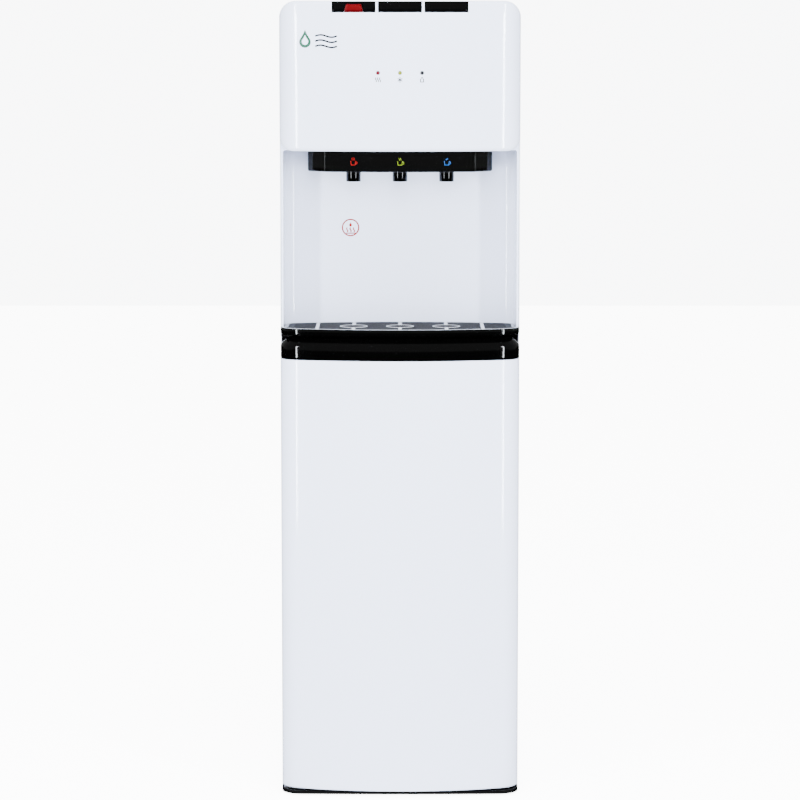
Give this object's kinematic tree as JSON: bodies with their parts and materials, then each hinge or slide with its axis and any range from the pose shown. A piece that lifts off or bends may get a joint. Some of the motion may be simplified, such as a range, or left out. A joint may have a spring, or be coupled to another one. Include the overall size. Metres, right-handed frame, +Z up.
{
  "type": "floor-standing water cooler",
  "caption": "Tall white bottom-loading water cooler with a hinged door, a recessed tap bay, push keys, nozzles and a lift-out drip tray.",
  "frame": {"origin": "on the floor under the middle of the cabinet", "axes": "+Z up, front towards -Y, +X to the viewer's right"},
  "size_m": [0.31, 0.36, 1.033],
  "materials": {
    "white_gloss": "glossy white injection-moulded plastic",
    "white_steel": "white powder-coated sheet steel",
    "black_gloss": "glossy black plastic",
    "black_matte": "fine-textured black plastic",
    "rubber_feet": "black rubber",
    "steel": "zinc-plated steel",
    "stainless": "drawn stainless steel",
    "aluminium": "extruded aluminium",
    "red_plastic": "glossy red plastic",
    "green_plastic": "glossy green plastic",
    "red_lamp": "translucent red lamp",
    "green_lamp": "translucent yellow-green lamp",
    "dark_lamp": "unlit dark lamp",
    "inner_plastic": "matt off-white plastic",
    "grille_grey": "dark grey satin plastic",
    "circuit_green": "solder-masked circuit board",
    "foam": "rigid insulating foam",
    "soft_tube": "translucent silicone tube"
  },
  "bodies": {
    "cabinet": {"base_plinth": "black_matte", "feet": "rubber_feet", "side_panel_left": "white_steel", "side_panel_right": "white_steel", "back_panel": "white_steel", "rear_grille": "black_matte", "top_cover": "white_gloss", "cabinet_screws": "steel", "head_cover": "white_gloss", "hot_button_spring": "steel", "warm_button_spring": "steel", "cold_button_spring": "steel", "button_carrier": "inner_plastic", "button_shaft": "steel", "button_switches": "black_matte", "indicator_board": "circuit_green", "hot_indicator": "red_lamp", "cold_indicator": "green_lamp", "empty_indicator": "dark_lamp", "tap_housing": "black_gloss", "tap_lens": "black_gloss", "nozzles": "black_gloss", "dispensing_valves": "inner_plastic", "splash_panel": "white_gloss", "tray_support": "black_matte", "compartment_ceiling": "inner_plastic", "bottle_platform": "inner_plastic", "probe_holder": "inner_plastic", "probe_hose": "soft_tube", "top_hinge_bracket": "black_matte", "bottom_hinge_bracket": "steel", "door_catch": "black_matte", "cold_tank": "stainless", "tank_insulation": "foam", "peltier_module": "aluminium", "heat_sink": "aluminium", "fan_frame": "black_matte", "hot_tank": "stainless", "tank_shelf": "steel", "water_tubes": "soft_tube", "water_pump": "black_matte", "power_board": "circuit_green", "switch_plate": "black_matte", "drain_spouts": "inner_plastic", "cord_gland": "black_matte"},
    "hot_key": {"hot_button": "black_gloss"},
    "warm_key": {"warm_button": "black_gloss"},
    "cold_key": {"cold_button": "black_gloss"},
    "lock_tab": {"child_lock": "red_plastic"},
    "door": {"door_skin": "white_gloss", "door_liner": "inner_plastic", "door_top_trim": "black_gloss"},
    "tray": {"drip_tray": "black_gloss"},
    "grille": {"drip_grille": "grille_grey"},
    "rotor": {"fan_rotor": "black_matte"},
    "hot_rocker": {"hot_switch": "red_plastic"},
    "cold_rocker": {"cold_switch": "green_plastic"},
    "hot_cap": {"hot_drain_cap": "red_plastic"},
    "cold_cap": {"cold_drain_cap": "inner_plastic"},
    "probe": {"bottle_probe": "inner_plastic"}
  },
  "joints": [
    {"name": "door_swing", "type": "hinge", "parent": "cabinet", "child": "door", "pos_m": [-0.143, -0.13999, 0.3], "axis": [0, 0, -1], "range_deg": [0, 110]},
    {"name": "hot_press", "type": "hinge", "parent": "cabinet", "child": "hot_key", "pos_m": [-0.059, -0.1435, 1.026], "axis": [1, 0, 0], "range_deg": [0, 5], "stiffness_Nm_per_rad": 0.4, "springref_deg": -5.73, "deforming": ["hot_button_spring"]},
    {"name": "warm_press", "type": "hinge", "parent": "cabinet", "child": "warm_key", "pos_m": [0, -0.1435, 1.026], "axis": [1, 0, 0], "range_deg": [0, 5], "stiffness_Nm_per_rad": 0.4, "springref_deg": -5.73, "deforming": ["warm_button_spring"]},
    {"name": "cold_press", "type": "hinge", "parent": "cabinet", "child": "cold_key", "pos_m": [0.059, -0.1435, 1.026], "axis": [1, 0, 0], "range_deg": [0, 5], "stiffness_Nm_per_rad": 0.4, "springref_deg": -5.73, "deforming": ["cold_button_spring"]},
    {"name": "lock_press", "type": "slide", "parent": "hot_key", "child": "lock_tab", "axis": [0, 1, 0], "range_m": [0, 0.0025], "stiffness_N_per_m": 300, "springref_m": -0.002},
    {"name": "tray_lift", "type": "slide", "parent": "cabinet", "child": "tray", "axis": [0, 0, 1], "range_m": [0, 0.06]},
    {"name": "grille_lift", "type": "slide", "parent": "tray", "child": "grille", "axis": [0, 0, 1], "range_m": [0, 0.04]},
    {"name": "fan_spin", "type": "hinge", "parent": "cabinet", "child": "rotor", "pos_m": [0, 0.15, 0.8555], "axis": [0, 1, 0], "continuous": true},
    {"name": "hot_switch_rock", "type": "hinge", "parent": "cabinet", "child": "hot_rocker", "pos_m": [0.115, 0.1692, 0.9465], "axis": [-1, 0, 0], "range_deg": [0, 20]},
    {"name": "cold_switch_rock", "type": "hinge", "parent": "cabinet", "child": "cold_rocker", "pos_m": [0.115, 0.1692, 0.9195], "axis": [-1, 0, 0], "range_deg": [0, 20]},
    {"name": "hot_drain_turn", "type": "hinge", "parent": "cabinet", "child": "hot_cap", "pos_m": [-0.02, 0.175, 0.619], "axis": [0, 1, 0], "range_deg": [0, 360]},
    {"name": "cold_drain_turn", "type": "hinge", "parent": "cabinet", "child": "cold_cap", "pos_m": [0.02, 0.175, 0.619], "axis": [0, 1, 0], "range_deg": [0, 360]},
    {"name": "probe_lift", "type": "slide", "parent": "cabinet", "child": "probe", "axis": [0, 0, 1], "range_m": [0, 0.03], "deforming": ["probe_hose"]}
  ]
}
